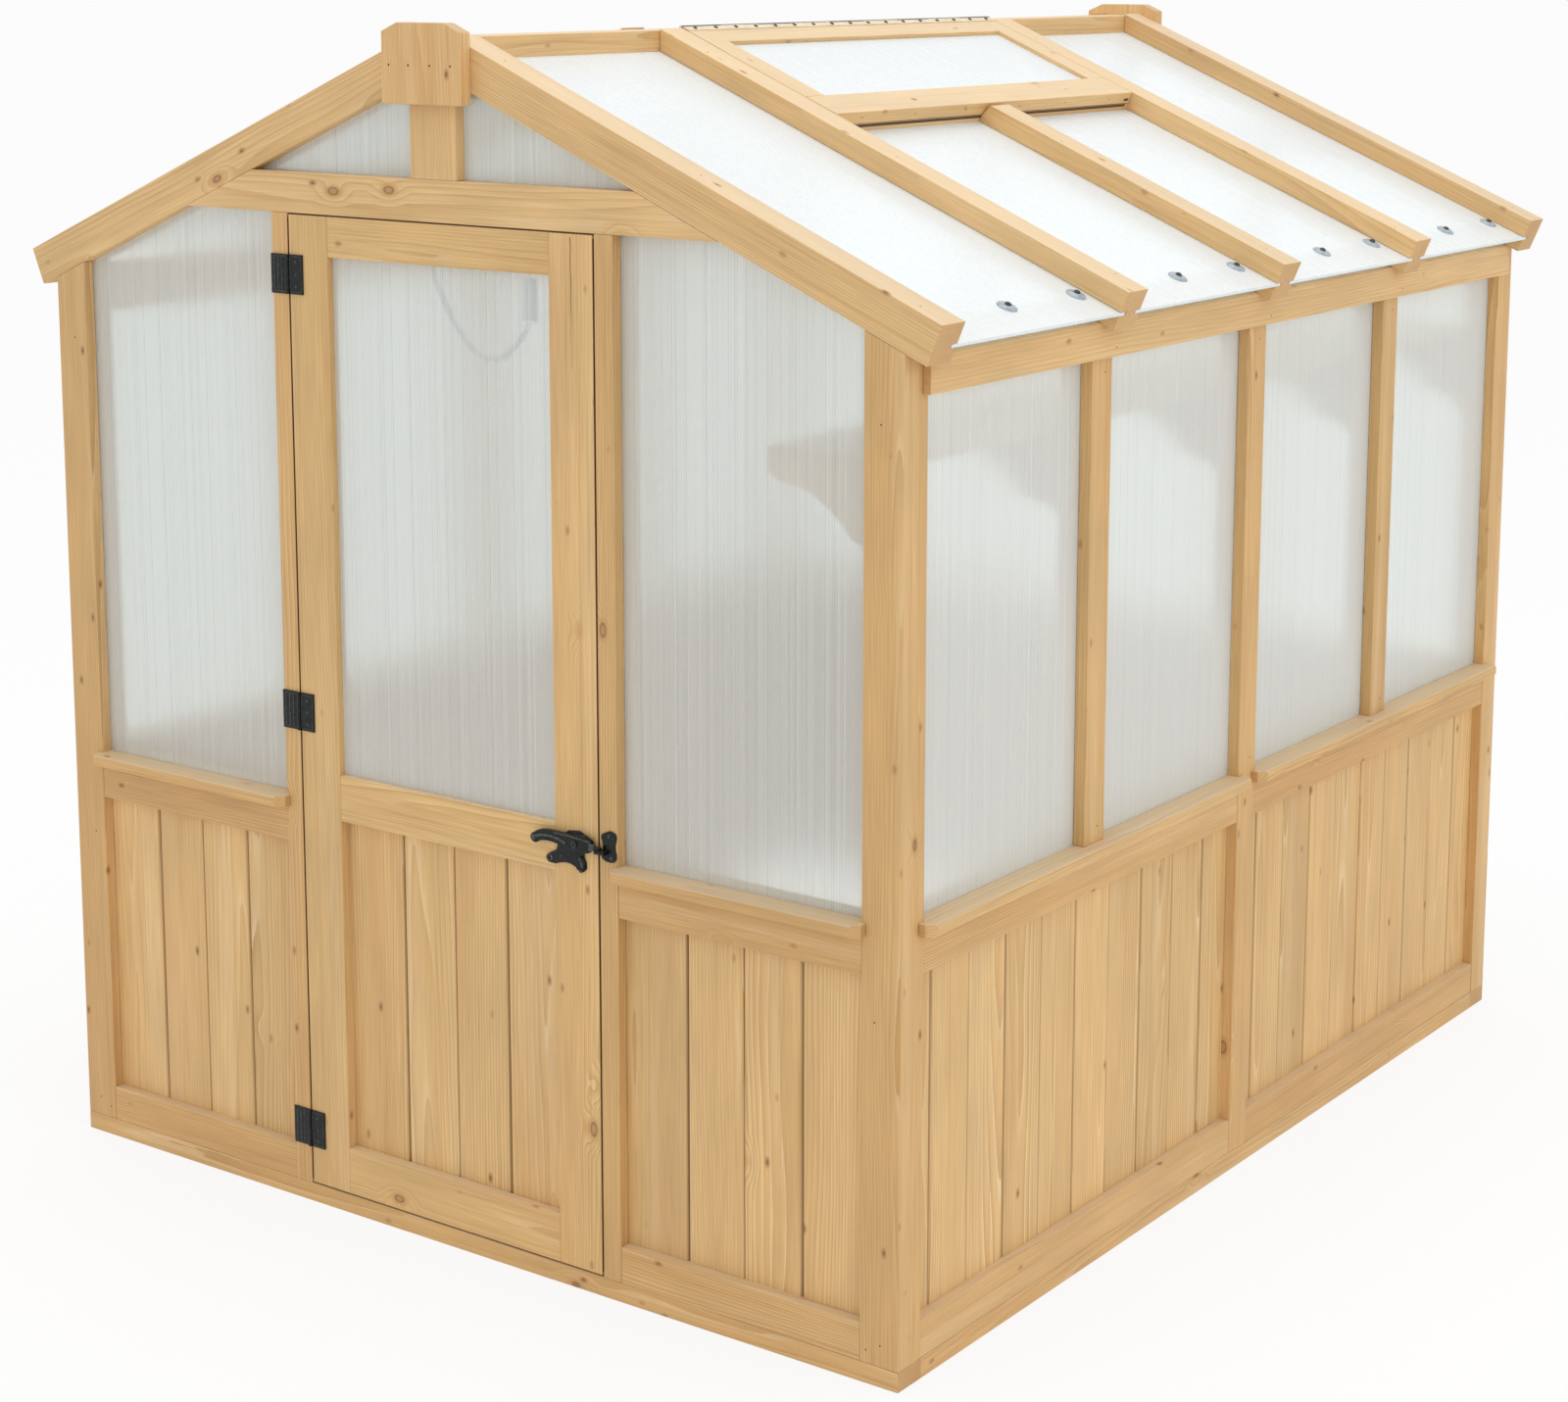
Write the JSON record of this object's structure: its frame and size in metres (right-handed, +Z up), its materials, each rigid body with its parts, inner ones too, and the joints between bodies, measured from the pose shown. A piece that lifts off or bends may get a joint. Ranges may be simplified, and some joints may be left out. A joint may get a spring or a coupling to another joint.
{
  "type": "wooden greenhouse",
  "caption": "Timber greenhouse with a boarded base, translucent sheet windows and roof, a hinged glazed door, a roof vent and a shelf inside.",
  "frame": {"origin": "middle of the footprint, on the ground", "axes": "+Z up, +Y from the door gable to the back gable along the ridge, +X towards the long wall with the roof vent above it"},
  "size_m": [2.14, 2.476, 2.2635],
  "materials": {
    "wall_timber": "planed softwood, pale yellow tan, oiled",
    "board_timber": "planed softwood boards, V-jointed",
    "roof_timber": "planed softwood, pale",
    "door_timber": "planed softwood, pale yellow tan",
    "wall_pane": "clear twin-wall sheet with fine upright flutes",
    "roof_pane": "clear twin-wall sheet with fine flutes",
    "black_iron": "black powder coat",
    "pale_steel": "zinc-plated steel"
  },
  "bodies": {
    "house": {"base_frame": "wall_timber", "corner_post_front_left": "wall_timber", "corner_post_front_right": "wall_timber", "door_post_left": "wall_timber", "door_post_right": "wall_timber", "collar_beam_front": "wall_timber", "king_post_front": "wall_timber", "ridge_block_front": "roof_timber", "ridge_beam": "roof_timber", "gable_pane_front": "wall_pane", "boarded_panel_front_left": "board_timber", "boarded_panel_front_right": "board_timber", "window_pane_front_left": "wall_pane", "window_pane_front_right": "wall_pane", "centre_post_right": "wall_timber", "boarded_panel_right_front": "board_timber", "boarded_panel_right_back": "board_timber", "window_frame_right_front": "wall_timber", "window_frame_right_back": "wall_timber", "window_pane_right": "wall_pane", "eave_plate_right": "roof_timber", "wall_frame_left": "wall_timber", "window_pane_left": "wall_pane", "eave_plate_left": "roof_timber", "wall_frame_back": "wall_timber", "window_pane_back": "wall_pane", "gable_frame_back": "roof_timber", "rafter_left_1": "roof_timber", "rafter_left_2": "roof_timber", "rafter_left_3": "roof_timber", "rafter_left_4": "roof_timber", "rafter_right_1": "roof_timber", "rafter_right_2": "roof_timber", "rafter_right_3": "roof_timber", "rafter_right_4": "roof_timber", "roof_pane_left_1": "roof_pane", "roof_pane_left_2": "roof_pane", "roof_pane_left_3": "roof_pane", "roof_pane_left_4": "roof_pane", "roof_pane_right_1": "roof_pane", "roof_pane_right_2": "roof_pane", "roof_pane_right_3": "roof_pane", "roof_pane_right_4": "roof_pane", "vent_hinge_fixed": "pale_steel", "door_hinge_fixed_1": "black_iron", "door_hinge_fixed_2": "black_iron", "door_hinge_fixed_3": "black_iron", "latch_striker": "black_iron", "shelf_right": "wall_timber"},
    "door": {"door_frame": "door_timber", "door_boards": "board_timber", "door_pane": "wall_pane", "door_hinge_moving_1": "black_iron", "door_hinge_moving_2": "black_iron", "door_hinge_moving_3": "black_iron", "latch_body": "black_iron"},
    "vent": {"vent_frame": "roof_timber", "vent_pane": "roof_pane", "vent_hinge_moving": "pale_steel"},
    "latch": {"latch_lever": "black_iron"}
  },
  "joints": [
    {"name": "door_swing", "type": "hinge", "parent": "house", "child": "door", "pos_m": [-0.362, -1.2118, 0.9755], "axis": [0, 0, -1], "range_deg": [0, 110]},
    {"name": "vent_lift", "type": "hinge", "parent": "house", "child": "vent", "pos_m": [0.04, 0, 2.2428], "axis": [0, -1, 0], "range_deg": [0, 45]},
    {"name": "latch_lift", "type": "hinge", "parent": "door", "child": "latch", "pos_m": [0.318, -1.2183, 0.838], "axis": [0, -1, 0], "range_deg": [0, 18], "stiffness_Nm_per_rad": 0.6, "springref_deg": -14.32}
  ]
}
